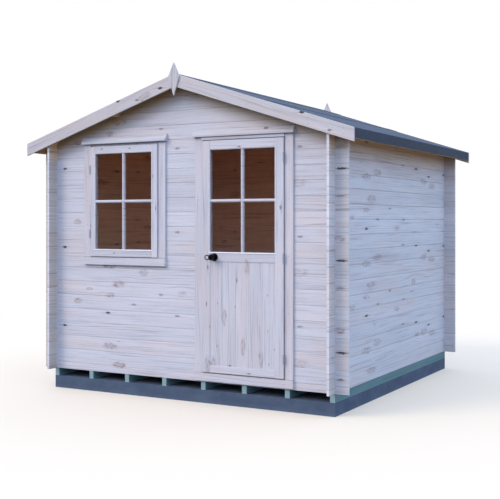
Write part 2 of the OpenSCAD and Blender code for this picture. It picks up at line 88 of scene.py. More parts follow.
def deck_top(x):
    """Height of the upper face of the roof deck at a distance from the ridge line."""
    return deck_z(x) + deck_plumb


# Shader graphs


class Value:
    """A number in a shader graph. Arithmetic on it adds Math nodes."""

    def __init__(self, graph, socket):
        self.graph = graph
        self.socket = socket

    def __add__(self, other):
        return self.graph.math("ADD", self, other)

    def __radd__(self, other):
        return self.graph.math("ADD", other, self)

    def __sub__(self, other):
        return self.graph.math("SUBTRACT", self, other)

    def __rsub__(self, other):
        return self.graph.math("SUBTRACT", other, self)

    def __mul__(self, other):
        return self.graph.math("MULTIPLY", self, other)

    def __rmul__(self, other):
        return self.graph.math("MULTIPLY", other, self)

    def __truediv__(self, other):
        return self.graph.math("DIVIDE", self, other)

    def __abs__(self):
        return self.graph.math("ABSOLUTE", self)


class Graph:
    """Adds nodes to one material and links values into them."""

    def __init__(self, tree):
        self.nodes = tree.nodes
        self.links = tree.links
        self.nodes.clear()

    def put(self, socket, value):
        if isinstance(value, Value):
            self.links.new(value.socket, socket)
        elif isinstance(value, bpy.types.NodeSocket):
            self.links.new(value, socket)
        elif isinstance(value, tuple) and len(value) == 3 and socket.type == "RGBA":
            socket.default_value = (*value, 1.0)
        else:
            socket.default_value = value

    def add(self, kind, inputs=None, **settings):
        node = self.nodes.new("ShaderNode" + kind)
        for key, value in settings.items():
            setattr(node, key, value)
        for key, value in (inputs or {}).items():
            self.put(node.inputs[key], value)
        return node

    def math(self, operation, *values, clamp=False):
        node = self.add("Math", dict(enumerate(values)), operation=operation, use_clamp=clamp)
        return Value(self, node.outputs[0])

    def vector(self, x, y, z=0.0):
        return self.add("CombineXYZ", {0: x, 1: y, 2: z}).outputs[0]

    def split(self, socket):
        node = self.add("SeparateXYZ", {0: socket})
        return [Value(self, output) for output in node.outputs]

    def place(self):
        """The surface point and its normal in the piece's own frame."""
        node = self.add("TexCoord")
        return self.split(node.outputs["Object"]), self.split(node.outputs["Normal"])

    def noise(self, x, y, z=0.0, detail=2.0, roughness=0.5):
        inputs = {"Vector": self.vector(x, y, z), "Scale": 1.0, "Detail": detail, "Roughness": roughness}
        return Value(self, self.add("TexNoise", inputs).outputs[0])

    def speckle(self, points, scale):
        """Distance to the nearest of a cloud of points."""
        node = self.add("TexVoronoi", {"Vector": self.vector(*points), "Scale": scale})
        return Value(self, node.outputs["Distance"])

    def chance(self, x, y):
        """Three random numbers from 0 to 1 for each pair of whole numbers."""
        node = self.add("TexWhiteNoise", {"Vector": self.vector(x, y)}, noise_dimensions="2D")
        return self.split(node.outputs["Color"])

    def floor(self, value):
        return self.math("FLOOR", value)

    def larger(self, a, b):
        return self.math("MAXIMUM", a, b)

    def smaller(self, a, b):
        return self.math("MINIMUM", a, b)

    def above(self, value, limit):
        return self.math("GREATER_THAN", value, limit)

    def step(self, value, start, end):
        """Goes smoothly from 0 at start to 1 at end."""
        inputs = {"Value": value, "From Min": start, "From Max": end}
        node = self.add("MapRange", inputs, interpolation_type="SMOOTHSTEP")
        return Value(self, node.outputs[0])

    def either(self, share, a, b):
        """The number a where share is 0 and b where it is 1."""
        return a + share * (b - a)

    def mix(self, share, a, b, blend="MIX"):
        node = self.add("Mix", {0: share, 6: a, 7: b}, data_type="RGBA", blend_type=blend)
        return node.outputs[2]

    def grey(self, value):
        return self.add("CombineColor", {0: value, 1: value, 2: value}).outputs[0]

    def bump(self, height, distance, strength=1.0):
        inputs = {"Height": height, "Distance": distance, "Strength": strength}
        return self.add("Bump", inputs).outputs[0]

    def surface(self, shader):
        self.links.new(shader.outputs[0], self.add("OutputMaterial").inputs["Surface"])


def new_graph(name):
    material = bpy.data.materials.new(name)
    material.use_nodes = True
    return material, Graph(material.node_tree)


# Timber

# Colours of a timber: its two tones, its darker veins, its knots and their cores
Palette = namedtuple("Palette", "pale warm vein knot core")
DARK_CORE = (0.030, 0.024, 0.030)
WHITEWASH = Palette((0.634, 0.640, 0.715), (0.672, 0.617, 0.648), (0.400, 0.380, 0.435),
                    (0.270, 0.172, 0.165), DARK_CORE)
# SIDE_WASH_PAINTED_LIGHT is WHITEWASH made a little paler and bluer for the shaded side walls: painted light
SIDE_WASH_PAINTED_LIGHT = Palette((0.654, 0.671, 0.737), (0.682, 0.640, 0.665), (0.415, 0.402, 0.452),
                    (0.275, 0.180, 0.172), DARK_CORE)
JOINERY_WASH = Palette((0.615, 0.612, 0.680), (0.650, 0.595, 0.628), (0.385, 0.360, 0.408),
                       (0.260, 0.185, 0.185), DARK_CORE)
# BEAD_WASH_PAINTED_HIGHLIGHT is the joinery's wash made paler: a painted highlight on the beads round the
# panes
BEAD_WASH_PAINTED_HIGHLIGHT = Palette((0.760, 0.755, 0.810), (0.790, 0.735, 0.765), (0.560, 0.530, 0.570),
                    (0.320, 0.235, 0.230), DARK_CORE)
WARM_WASH = Palette((0.575, 0.560, 0.592), (0.615, 0.538, 0.535), (0.345, 0.305, 0.325),
                    (0.300, 0.215, 0.205), DARK_CORE)
DULL_WASH = Palette((0.570, 0.575, 0.640), (0.600, 0.550, 0.575), (0.350, 0.330, 0.370),
                    (0.300, 0.225, 0.220), DARK_CORE)
WEATHERED = Palette((0.600, 0.585, 0.625), (0.610, 0.555, 0.565), (0.260, 0.235, 0.250),
                    (0.240, 0.190, 0.190), DARK_CORE)
BARE_PINE = Palette((0.800, 0.490, 0.270), (0.820, 0.470, 0.230), (0.520, 0.260, 0.120),
                    (0.330, 0.140, 0.062), (0.080, 0.036, 0.020))
SOFFIT_PINE = Palette((0.560, 0.360, 0.190), (0.580, 0.345, 0.165), (0.330, 0.190, 0.098),
                      (0.200, 0.105, 0.052), (0.050, 0.028, 0.018))
TREATED = Palette((0.110, 0.242, 0.280), (0.140, 0.245, 0.262), (0.070, 0.136, 0.156),
                  (0.095, 0.120, 0.120), (0.030, 0.034, 0.036))
SLIM_BOARD = 0.06
BEAM_W = 0.07
BARGE_W = 0.092

# Where a face point lies in its board: u along the grain, v up from the board's edge, w through it,
# row a number for the board, width the board's own, end 1 on its end grain
Grain = namedtuple("Grain", "u v w row width end")


def board_grain(axes, base=0.0, pitch=None, width=None):
    """Grain of boards that lie side by side from base, for axes such as "xzy": along, across, through."""
    def lay(g):
        point, normal = g.place()
        u, v, w = (point["xyz".index(axis)] for axis in axes)
        end = g.above(abs(normal["xyz".index(axes[0])]), 0.9)
        side = g.above(w, 0.0) * 57.0
        if pitch is None:
            return Grain(u, v - base, w, side + g.floor(v * 3.0), width, end)
        number = g.floor((v - base) / pitch)
        return Grain(u, v - base - number * pitch, w, number + side, pitch, end)
    return lay


def slope_grain(low_lift, width):
    """Grain that runs down both roof slopes, measured up from low_lift over the deck's underside."""
    def lay(g):
        (x, y, z), normal = g.place()
        run = abs(x) / math.cos(ROOF_PITCH)
        rise = (z + abs(x) * slope - ridge_z - low_lift) * math.cos(ROOF_PITCH)
        row = g.above(x, 0.0) * 31.0 + g.above(y, 0.0) * 57.0
        return Grain(run, rise, y, row, width, g.above(abs(normal[0]), 0.97))
    return lay


def roof_board_grain(base, pitch):
    """Grain of the roof boards, which run down both slopes side by side."""
    def lay(g):
        (x, y, z), normal = g.place()
        number = g.floor((y - base) / pitch)
        row = number + g.above(x, 0.0) * 31.0
        end = g.above(abs(normal[0]), 0.97)
        return Grain(abs(x) / math.cos(ROOF_PITCH), y - base - number * pitch, z, row, pitch, end)
    return lay


def frame_grain(node, member_w):
    """Grain of a frame of uprights at both sides with level members between them."""
    low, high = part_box(node)
    middle = (low.x + high.x) / 2
    reach = (high.x - low.x) / 2 - member_w

    def lay(g):
        (x, y, z), normal = g.place()
        upright = g.above(abs(x - middle), reach)
        u = g.either(upright, x, z)
        v = g.either(upright, z - low.z, abs(x - middle) - reach)
        row = g.either(upright, g.floor(z * 3.0) + 11.0, g.above(x, middle) * 5.0)
        end = g.either(upright, g.above(abs(normal[0]), 0.9), g.above(abs(normal[2]), 0.9))
        return Grain(u, v, y, row, member_w, end)
    return lay


# Scattered knots: a board has a place for one in each step along it, and a share of the places hold a knot of
# about half_length by flat times that. salt tells the kinds apart.
KnotKind = namedtuple("KnotKind", "step share half_length flat salt")
LIVE_KNOT = KnotKind(0.47, 0.26, 0.044, 0.46, 0.0)
DEAD_KNOT = KnotKind(0.39, 0.15, 0.022, 0.34, 40.0)
Knot = namedtuple("Knot", "du dv away middle weight")


def knot_field(g, grain, kind, knots):
    """The nearest knot: offsets from it in knot sizes, its height in the board and how strong it is."""
    slot = g.floor(grain.u / kind.step)
    here, along, across = g.chance(slot + kind.salt, grain.row)
    size, weight, stretch = g.chance(slot + kind.salt, grain.row + 0.5)
    length = kind.half_length * (0.55 + size * size * 0.9)
    missing = g.above(here, kind.share * knots) * 40.0
    du = abs(grain.u - (slot + 0.3 + along * 0.4) * kind.step) / length + missing
    middle = grain.width * (0.1 + across * 0.8)
    dv = (grain.v - middle) / (length * kind.flat * (0.6 + stretch * 0.8))
    return Knot(du, dv, g.math("SQRT", du * du + dv * dv), middle, weight)


RING_WIDE = 0.0190
RING_FINE = 0.0068
RING_END = 0.0065
Wood = namedtuple("Wood", "late fine streak thread fibre mottle blush band")


def wood_figure(g, grain, v):
    """Growth rings that wander along the board, streaks and fibres; v is the height with the grain parted."""
    drift = g.noise(grain.u * 0.60, v * 6.0, grain.row * 9.7, detail=2.0) - 0.5
    growth = (v + drift * 0.13) * (2 * math.pi)
    late = g.math("POWER", g.math("SINE", growth / RING_WIDE) * 0.5 + 0.5, 7.0)
    return Wood(
        late=late * g.step(g.noise(grain.u * 0.8 + 3.0, v * 26.0, grain.row * 4.1), 0.42, 0.66),
        fine=g.math("SINE", growth / RING_FINE) * 0.5 + 0.5,
        streak=g.noise(grain.u * 1.9, v * 58.0, grain.row * 7.3, detail=3.0, roughness=0.60),
        thread=g.noise(grain.u * 3.4, v * 150.0, grain.row * 6.1, detail=2.0),
        fibre=g.noise(grain.u * 9.0, v * 520.0, grain.row * 5.9, detail=2.0),
        mottle=g.noise(grain.u * 32.0, v * 115.0, grain.row * 2.9, detail=2.0) - 0.5,
        blush=g.step(g.noise(grain.u * 2.2, v * 9.0, grain.row * 3.7 + 5.0), 0.40, 0.68),
        band=g.noise(grain.u * 1.4, v * 12.0, grain.row * 2.3 + 9.0) - 0.5,
    )


def knot_shades(g, grain, live, dead, marks):
    """How much of a knot and of a dark core a point holds.

    Live knots have a soft body and a broken dark rim; dead ones are dark with tails along the grain.
    """
    wobble = g.noise(grain.u * 14.0, grain.v * 44.0, grain.row, detail=3.0) - 0.5
    broken = g.step(g.noise(grain.u * 24.0, grain.v * 42.0, grain.row + 2.0), 0.40, 0.62)
    scribble = g.step(g.noise(grain.u * 19.0, grain.v * 105.0, grain.row + 4.0, detail=2.0), 0.50, 0.68)
    knot = whorl(g, live.away + wobble * 0.9, broken, scribble) * (0.45 + live.weight * 0.55)
    tail = g.step(abs(dead.dv) + dead.du * 0.20, 1.0, 0.20) * (0.30 + dead.weight * 0.35)
    core = g.step(dead.away + wobble * 1.4, 1.0, 0.45) * (0.25 + dead.weight * dead.weight * 0.55)
    if marks is not None:
        ragged = g.noise(grain.u * 55.0, grain.v * 150.0, grain.row, detail=2.0) - 0.5
        for spots in marks.groups:
            away = nearest_spot(g, marks, spots)
            if spots.live:
                knot = g.larger(knot, whorl(g, away + wobble * 0.9, broken, scribble) * spots.dark)
            else:
                core = g.larger(core, g.step(away + ragged * 1.6, 1.15, 0.6) * spots.dark)
                drawn_out = g.step(nearest_spot(g, marks, spots, TAIL_LONG, TAIL_THIN), 1.0, 0.2)
                tail = g.larger(tail, drawn_out * spots.dark * 0.5)
    return g.larger(knot, tail), core


def board_shade(g, grain, tone, wood, joint_dirt_and_edge_shading, end_tone):
    """Boards differ a little in tone, joints hold dirt and painted edge shading, and end grain is paler and
    shows its rings.
    """
    rubbed = g.step(wood.thread, 0.45, 0.25)
    shade = 0.955 + tone * 0.09 + wood.band * 0.26 + wood.mottle * 0.12 + rubbed * 0.05
    if joint_dirt_and_edge_shading:
        edge = g.smaller(grain.v, grain.width - grain.v)
        shade = shade * (1.0 - joint_dirt_and_edge_shading * wood.streak * g.step(edge, 0.005, 0.0005))
        # Painted shade along each board's lower edge and a painted highlight along its upper edge
        shade = shade * (1.0 - g.step(grain.v, 0.014, 0.001) * 0.05)
        shade = shade * (1.0 + g.step(grain.width - grain.v, 0.016, 0.009) * 0.03)
    arc = g.math("SQRT", (grain.v + 0.02) * (grain.v + 0.02) + grain.w * grain.w * 0.3)
    end_rings = g.math("SINE", arc * (2 * math.pi / RING_END)) * 0.06 + end_tone
    return g.either(grain.end, shade, shade * end_rings)


def timber(name, lay, palette, knots=1.0, figure=1.0, end_tone=1.1, joint_dirt_and_edge_shading=0.0, inside=None, marks=None,
           lines=()):
    """Sawn softwood with growth rings, streaks, live and dead knots and grain that flows round them.

    knots and figure scale the number of knots and the strength of the rings and streaks, end_tone the end
    grain. marks are knots at chosen places, lines hold painted shadow, and inside changes the finished
    colour.
    """
    material, g = new_graph(name)
    grain = lay(g)
    tone, slide, hue = g.chance(grain.row, 3.0)
    grain = grain._replace(u=grain.u + slide * 9.0)
    live = knot_field(g, grain, LIVE_KNOT, knots)
    dead = knot_field(g, grain, DEAD_KNOT, knots)

    # The grain parts round each knot
    part_live = g.math("EXPONENT", live.away * live.away * -0.22) * 0.75
    part_dead = g.math("EXPONENT", dead.away * dead.away * -0.20) * 0.55
    v = grain.v - (grain.v - live.middle) * part_live - (grain.v - dead.middle) * part_dead
    wood = wood_figure(g, grain, v)

    warmth = g.math("ADD", wood.blush * 0.65, (hue - 0.5) * 0.7, clamp=True)
    rings = wood.late * 0.54 + g.step(wood.streak, 0.49, 0.82) * 0.66 + g.step(wood.thread, 0.54, 0.82) * 0.34
    veins = g.math("ADD", rings * figure, wood.fine * 0.05 + (wood.fibre - 0.5) * 0.14, clamp=True)
    knot, core = knot_shades(g, grain, live, dead, marks)
    shade = board_shade(g, grain, tone, wood, joint_dirt_and_edge_shading, end_tone)
    colour = g.mix(warmth, palette.pale, palette.warm)
    colour = g.mix(veins, colour, palette.vein)
    colour = g.mix(knot, colour, palette.knot)
    colour = g.mix(core, colour, palette.core)
    colour = g.mix(1.0, colour, g.grey(shade), "MULTIPLY")
    for line in lines:
        colour = g.mix(painted_shadow_line(g, line), colour, PAINTED_SHADOW)
    if inside is not None:
        colour = inside(g, colour, veins, g.larger(knot, core), shade)

    height = wood.fibre * 0.35 - wood.late * 0.5 - wood.fine * 0.12 - core * 0.6 + wood.streak * 0.3
    shader = g.add("BsdfPrincipled", {
        "Base Color": colour,
        "Roughness": 0.56 + wood.streak * 0.18 + wood.fibre * 0.08,
        "Normal": g.bump(height, 0.0007, 0.55),
        "Specular IOR Level": 0.32,
    })
    g.surface(shader)
    return material


def whorl(g, rim, broken, scribble):
    """Shade of a live knot: a soft body, short dark lines and part of a dark rim; rim is 1 at its edge."""
    body = g.step(rim, 1.3, 0.4) * (0.24 + scribble * 0.50)
    dark_rim = g.step(abs(rim - 0.8), 0.34, 0.06) * broken * 0.50
    lines = g.math("POWER", g.math("SINE", rim * 6.5) * 0.5 + 0.5, 3.0) * g.step(rim, 2.6, 1.0)
    return g.math("ADD", body + dark_rim, lines * broken * 0.16, clamp=True)


# Knots at chosen places of an upright face: each group has a half size and a darkness, and its places are
# (along, up), where along is x on the front or y on the right side. The back and the left side have them
# turned round. With a rise, the places come again each time the height grows by it.
KnotMap = namedtuple("KnotMap", "axis low rise groups")
Spots = namedtuple("Spots", "live half dark places")
TAIL_LONG = 4.5
TAIL_THIN = 0.5


def nearest_spot(g, knot_map, spots, longer=1.0, thinner=1.0):
    """Distance to the nearest place of a group, in knot sizes, which can be drawn out along the grain."""
    (x, y, z), _ = g.place()
    along = y * g.math("SIGN", x) if knot_map.axis == "y" else x * g.math("SIGN", y) * -1.0
    up = z
    if knot_map.rise:
        up = g.math("WRAP", z, knot_map.low + knot_map.rise, knot_map.low)
    point = g.vector(along, up)
    wide, tall = spots.half
    half = (wide * longer, tall * thinner, 1.0) if wide > tall else (wide * thinner, tall * longer, 1.0)
    nearest = None
    for place in spots.places:
        offset = g.add("VectorMath", {0: point, 1: (*place, 0.0)}, operation="SUBTRACT").outputs[0]
        scaled = g.add("VectorMath", {0: offset, 1: half}, operation="DIVIDE").outputs[0]
        away = Value(g, g.add("VectorMath", {0: scaled}, operation="LENGTH").outputs["Value"])
        nearest = away if nearest is None else g.smaller(nearest, away)
    return nearest


# Painted shadow on the front against an edge, from left to right; it fades out at the height far
PAINTED_SHADOW = (0.105, 0.082, 0.070)
Line = namedtuple("Line", "edge far left right dark")


def painted_shadow_line(g, line):
    """How much painted shadow a line holds at a point."""
    (x, y, z), _ = g.place()
    middle = (line.left + line.right) / 2
    within = g.above((line.right - line.left) / 2, abs(x - middle)) * g.above(0.0, y)
    beyond = (z - line.edge) * (1 if line.far < line.edge else -1)
    return g.step(z, line.far, line.edge) * g.above(0.001, beyond) * within * line.dark


# Tints that paint shade on the log ends past the corners and on the logs close under the roof, and the tint
# of the bearers' ends
LEFT_ENDS_PAINTED_SHADE = (0.91, 0.83, 0.74)
RIGHT_ENDS_PAINTED_SHADE = (0.99, 0.96, 0.91)
GABLE_PAINTED_SHADE = (0.36, 0.235, 0.080)
EAVES_PAINTED_SHADE = (0.92, 0.62, 0.33)
BEARER_ENDS = (0.345, 0.440, 0.450)
INNER_EDGE = 0.006


def bare_inside(g, colour, veins, knots, shade):
    """Leaves the faces towards the room, with their chamfered edges, as bare pine."""
    (x, y, z), _ = g.place()
    within = g.above(room_half + INNER_EDGE, g.larger(abs(x), abs(y)))
    bare = g.mix(g.math("ADD", veins, 0.1, clamp=True), BARE_PINE.pale, BARE_PINE.vein)
    bare = g.mix(g.math("MULTIPLY", knots, 1.5, clamp=True), bare, BARE_PINE.knot)
    return g.mix(within, colour, g.mix(1.0, bare, g.grey(shade), "MULTIPLY"))


def log_faces(along, roof_shade, reach):
    """Bare pine inside, painted brown shade within reach of the roof, painted shade on the log ends; along is
    the logs' axis.
    """
    def inside(g, colour, veins, knots, shade):
        (x, y, z), normal = g.place()
        long_face = g.above(0.9, abs(normal["xyz".index(along)]))
        below = ridge_z - abs(x) * slope - z
        # Painted shade: logs close under the roof take the brown of light bounced off the soffit, fading out
        # over reach
        near = g.step(below, reach, 0.03) * long_face * 0.92
        roof_shade_colour = g.mix(g.larger(veins, knots), roof_shade, SOFFIT_PINE.vein)
        colour = g.mix(near, colour, roof_shade_colour)
        # Painted shade on the log ends past the corners, deeper on the left
        past = g.step(g.larger(abs(x) - half_w, abs(y) - half_d), 0.001, 0.02) * long_face
        end_shade_tint = g.mix(g.above(x, 0.0), LEFT_ENDS_PAINTED_SHADE, RIGHT_ENDS_PAINTED_SHADE)
        colour = g.mix(past, colour, end_shade_tint, "MULTIPLY")
        return bare_inside(g, colour, veins, knots, shade)
    return inside


def pale_ends(g, colour, veins, knots, shade):
    """Bearers with washed out, paler ends."""
    _, normal = g.place()
    return g.mix(g.above(abs(normal[1]), 0.9) * (0.55 - veins * 0.3), colour, BEARER_ENDS)


# Other materials


def felt_material():
    """Mineral faced roofing felt: fine granules, pale worn flecks, broad soft tone and painted shade on its
    upright faces.
    """
    material, g = new_graph("felt")
    point, normal = g.place()
    x, y, z = point
    grit = g.speckle(point, 900.0)
    flecks = g.noise(x * 700.0, y * 700.0, z * 700.0, detail=1.0)
    cloud = g.noise(x * 2.2, y * 1.1, z * 2.2, detail=6.0, roughness=0.6)
    runs = g.noise(x * 1.6, y * 24.0, z * 1.6, detail=3.0)
    scuffs = g.step(g.noise(x * 38.0, y * 38.0, z * 38.0, detail=3.0), 0.52, 0.72)
    tone = g.step(flecks, 0.35, 0.75) * 0.40 + cloud * 0.70 + runs * 0.40 + scuffs * 0.22 - 0.45
    colour = g.mix(g.math("ADD", tone, 0.0, clamp=True), (0.032, 0.060, 0.116), (0.084, 0.143, 0.252))
    # Painted shade: faces that stand upright, such as the fold over the eaves, are darker
    upright = g.above(abs(normal[0]), 0.8)
    colour = g.mix(upright, colour, (0.48, 0.51, 0.55), "MULTIPLY")
    shader = g.add("BsdfPrincipled", {
        "Base Color": colour,
        "Roughness": 0.72 + flecks * 0.2,
        "Normal": g.bump(grit * -1.0 + cloud * 2.0, 0.0008, 0.7),
        "Specular IOR Level": 0.5,
    })
    g.surface(shader)
    return material


def plinth_material():
    """Dark slate grey cast concrete: soft mottling, small pits and a paler dusty foot."""
    material, g = new_graph("plinth")
    point, _ = g.place()
    x, y, z = point
    mottle = g.noise(x * 6.0, y * 6.0, z * 9.0, detail=6.0, roughness=0.62)
    sand = g.noise(x * 420.0, y * 420.0, z * 420.0, detail=2.0)
    pits = g.step(g.speckle(point, 95.0), 0.20, 0.08)
    dust = g.step(z + (mottle - 0.5) * 0.05, 0.035, 0.0) * 0.35
    tone = g.math("ADD", g.step(mottle, 0.30, 0.72) * 0.7 + (sand - 0.5) * 0.5 + dust, 0.0, clamp=True)
    colour = g.mix(tone, (0.064, 0.092, 0.152), (0.106, 0.146, 0.220))
    colour = g.mix(pits * 0.6, colour, (0.045, 0.058, 0.080))
    shader = g.add("BsdfPrincipled", {
        "Base Color": colour,
        "Roughness": 0.78 + sand * 0.16,
        "Normal": g.bump(mottle * 0.8 + sand * 0.25 - pits, 0.002, 0.6),
        "Specular IOR Level": 0.3,
    })
    g.surface(shader)
    return material


def metal_material(name, dark, worn, roughness, metallic=0.0, gloss=0.5):
    """Coated metal with fine grain, uneven sheen and faint rubbed patches."""
    material, g = new_graph(name)
    point, _ = g.place()
    x, y, z = point
    grain = g.noise(x * 900.0, y * 900.0, z * 900.0, detail=2.0)
    patch = g.noise(x * 70.0, y * 70.0, z * 70.0, detail=3.0)
    colour = g.mix(g.step(patch, 0.52, 0.78) * 0.5 + grain * 0.2, dark, worn)
    shader = g.add("BsdfPrincipled", {
        "Base Color": colour,
        "Metallic": metallic,
        "Specular IOR Level": gloss,
        "Roughness": roughness + (patch - 0.5) * 0.25 + grain * 0.08,
        "Normal": g.bump(grain + patch, 0.0004, 0.5),
    })
    g.surface(shader)
    return material


def glass_material(node):
    """Thin clear glass that lets light in, with a little dust along its edges and a painted reflection that
    grows towards its foot.
    """
    material, g = new_graph(node)
    (x, y, z), _ = g.place()
    low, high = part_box(node)
    middle = (low + high) / 2
    half = (high - low) / 2
    rim = g.larger(abs(x - middle.x) - half.x, abs(z - middle.z) - half.z)
    smudge = g.noise(x * 16.0, y * 3.0, z * 11.0, detail=4.0)
    dust = g.step(rim + smudge * 0.02, -0.030, 0.0) * 0.10 + g.step(smudge, 0.45, 0.8) * 0.04
    shader = g.add("BsdfPrincipled", {
        # Painted reflection: the base colour grows paler towards the pane's foot
        "Base Color": g.mix(g.step(z, high.z, low.z), (0.020, 0.020, 0.020), (0.150, 0.155, 0.160)),
        "Roughness": 0.03 + dust * 0.8,
        "Alpha": 0.05 + dust,
        "IOR": 1.5,
    })
    g.surface(shader)
    return material


# Meshes

# Outline of a nail head, in shares of its radius and its height
NAIL_DOME = ((1.0, -0.4), (1.0, 0.35), (0.78, 0.8), (0.3, 1.0))


def circle(count, radius):
    """Points of a circle about the origin."""
    turns = [2 * math.pi * i / count for i in range(count)]
    return [(radius * math.cos(turn), radius * math.sin(turn)) for turn in turns]


class Builder:
    """Collects the vertices and faces of one piece."""

    def __init__(self):
        self.points = []
        self.faces = []

    def loft(self, rings, loop=False):
        """Closed solid through rings of as many points each; a loop joins the last ring to the first."""
        count = len(rings[0])
        base = len(self.points)
        total = count * len(rings)
        for ring in rings:
            self.points.extend(ring)
        if not loop:
            self.faces.append([base + i for i in reversed(range(count))])
            self.faces.append([base + total - count + i for i in range(count)])
        for start in range(0, total if loop else total - count, count):
            for i in range(count):
                j = (i + 1) % count
                after = (start + count) % total
                self.faces.append([base + start + i, base + start + j, base + after + j, base + after + i])

    def stud(self, at, out, radius, height, sides=10):
        """Nail head: a low dome standing on a face."""
        out = Vector(out).normalized()
        side = out.orthogonal().normalized()
        up = out.cross(side)
        rings = []
        for share, lift in NAIL_DOME:
            middle = Vector(at) + out * height * lift
            rings.append([middle + side * a + up * b for a, b in circle(sides, radius * share)])
        self.loft(rings)

    def piece(self, name, material, body, slot, *replaced):
        mesh = bpy.data.meshes.new(name)
        mesh.from_pydata([tuple(point) for point in self.points], [], self.faces)
        work = bmesh.new()
        work.from_mesh(mesh)
        bmesh.ops.recalc_face_normals(work, faces=work.faces)
        work.to_mesh(mesh)
        work.free()
        mesh.materials.append(material)
        made = bpy.data.objects.new(name, mesh)
        bpy.context.scene.collection.objects.link(made)
        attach(made, body)
        if replaced:
            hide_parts(*replaced)
        return made


def board_section(start, end, low, high, vee_low=0.0, vee_high=0.0):
    """Section of a board from start to end, its edges chamfered at the low and the high face."""
    return [
        (start + vee_low, low), (end - vee_low, low), (end, low + vee_low), (end, high - vee_high),
        (end - vee_high, high), (start + vee_high, high), (start, high - vee_high), (start, low + vee_low),
    ]


BOARD_GAP = 0.0006
BOARD_VEE = 0.003
ROOF_BOARDS = 31
FLOOR_BOARDS = 28
FLOOR_VEE = 0.0015
PANEL_BOARDS = 5
PANEL_VEE = 0.0008


def roof_boards(side, node, material):
    """Boards that run down one slope, with a V joint between them on the underside."""
    low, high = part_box(node)
    pitch = (high.y - low.y) / ROOF_BOARDS
    inner, outer = sorted((abs(low.x), abs(high.x)))
    build = Builder()
    for number in range(ROOF_BOARDS):
        start = low.y + number * pitch + BOARD_GAP / 2
        section = board_section(start, start + pitch - BOARD_GAP, 0.0, deck_plumb, vee_low=BOARD_VEE)
        build.loft([[(side * x, y, deck_z(x) + lift) for y, lift in section] for x in (inner, outer)])
    name = "roof_boards_left" if side < 0 else "roof_boards_right"
    build.piece(name, material, "cabin", "inner_timber", node)


def floor_boards(material):
    """Floor boards across the bearers."""
    low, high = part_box("floor")
    pitch = (high.y - low.y) / FLOOR_BOARDS
    build = Builder()
    for number in range(FLOOR_BOARDS):
        start = low.y + number * pitch + BOARD_GAP / 2
        section = board_section(start, start + pitch - BOARD_GAP, low.z, high.z, vee_high=FLOOR_VEE)
        build.loft([[(x, y, z) for y, z in section] for x in (low.x, high.x)])
    build.piece("floor_boards", material, "cabin", "inner_timber", "floor")


def panel_boards(material):
    """Upright boards of the door's lower panel, V jointed on both faces."""
    low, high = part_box("door_panel")
    pitch = (high.x - low.x) / PANEL_BOARDS
    build = Builder()
    for number in range(PANEL_BOARDS):
        start = low.x + number * pitch + BOARD_GAP / 2
        section = board_section(start, start + pitch - BOARD_GAP, low.y, high.y, PANEL_VEE, PANEL_VEE)
        build.loft([[(x, y, z) for x, y in section] for z in (low.z, high.z)])
    build.piece("door_panel_boards", material, "door", "joinery", "door_panel")


BAR_W = 0.023
BAR_D = 0.014
BAR_EDGE = 0.007
PANE_GRIP = 0.0077


def pane_opening(glass):
    """Lowest and highest corner of a pane without the edges that its frame grips."""
    low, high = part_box(glass)
    grip = Vector((PANE_GRIP, 0.0, PANE_GRIP))
    return low + grip, high - grip


def glazing_bars(name, glass, body, material):
    """Crossed bars on both faces of a pane, between the edges of the opening."""
    low, high = pane_opening(glass)
    middle = (low + high) / 2
    half = BAR_W / 2
    section = [(-half, 0.0), (half, 0.0), (half, BAR_D - BAR_EDGE), (half - BAR_EDGE, BAR_D),
               (BAR_EDGE - half, BAR_D), (-half, BAR_D - BAR_EDGE)]
    build = Builder()
    for face, out in ((low.y, -1), (high.y, 1)):
        build.loft([[(middle.x + a, face + out * d, z) for a, d in section] for z in (low.z, high.z)])
        for start, end in ((low.x, middle.x - half), (middle.x + half, high.x)):
            build.loft([[(x, face + out * d, middle.z + a) for a, d in section] for x in (start, end)])
    build.piece(name, material, body, "joinery")


BEAD_W = 0.008
BEAD_H = 0.005
BEAD_BACK = 0.0015


def pane_beads(name, node, glass, body, material):
    """Slim beads round a glazed opening, mitred at the corners, each sloping down to the opening."""
    low, high = pane_opening(glass)
    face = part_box(node)[0].y
    corners = [(low.x, low.z, -1, -1), (high.x, low.z, 1, -1), (high.x, high.z, 1, 1), (low.x, high.z, -1, 1)]
    section = [(0.0, -HAIR), (0.0, HAIR), (BEAD_W, BEAD_H), (BEAD_W + BEAD_BACK, -HAIR)]
    build = Builder()
    for start, end in zip(corners, corners[1:] + corners[:1]):
        build.loft([[(x + out_x * away, face - lift, z + out_z * away) for away, lift in section]
                    for x, z, out_x, out_z in (start, end)])
    build.piece(name, material, body, "joinery")


DOOR_CLEAR = 0.005
STRIP_EDGE = 0.002


def head_strip(material):
    """Planted strip over the door, between the side trims and up to the hood, flush with the leaf."""
    leaf_low, leaf_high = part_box("door_leaf")
    trims_low, trims_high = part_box("door_trims")
    foot = leaf_high.z + DOOR_CLEAR
    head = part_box("door_hood")[0].z - HAIR
    back = trims_high.y - HAIR
    section = [(back, foot), (leaf_low.y + STRIP_EDGE, foot), (leaf_low.y, foot + STRIP_EDGE),
               (leaf_low.y, head), (back, head)]
    build = Builder()
    build.loft([[(x, y, z) for y, z in section]
                for x in (trims_low.x + TRIM_W + HAIR, trims_high.x - TRIM_W - HAIR)])
    build.piece("door_head_strip", material, "cabin", "joinery")


KEY_WIRE_R = 0.0025
KEY_STOUT_R = 0.0037
KEY_RING_R = 0.017
WIRE_SIDES = 14
RING_STATIONS = 40


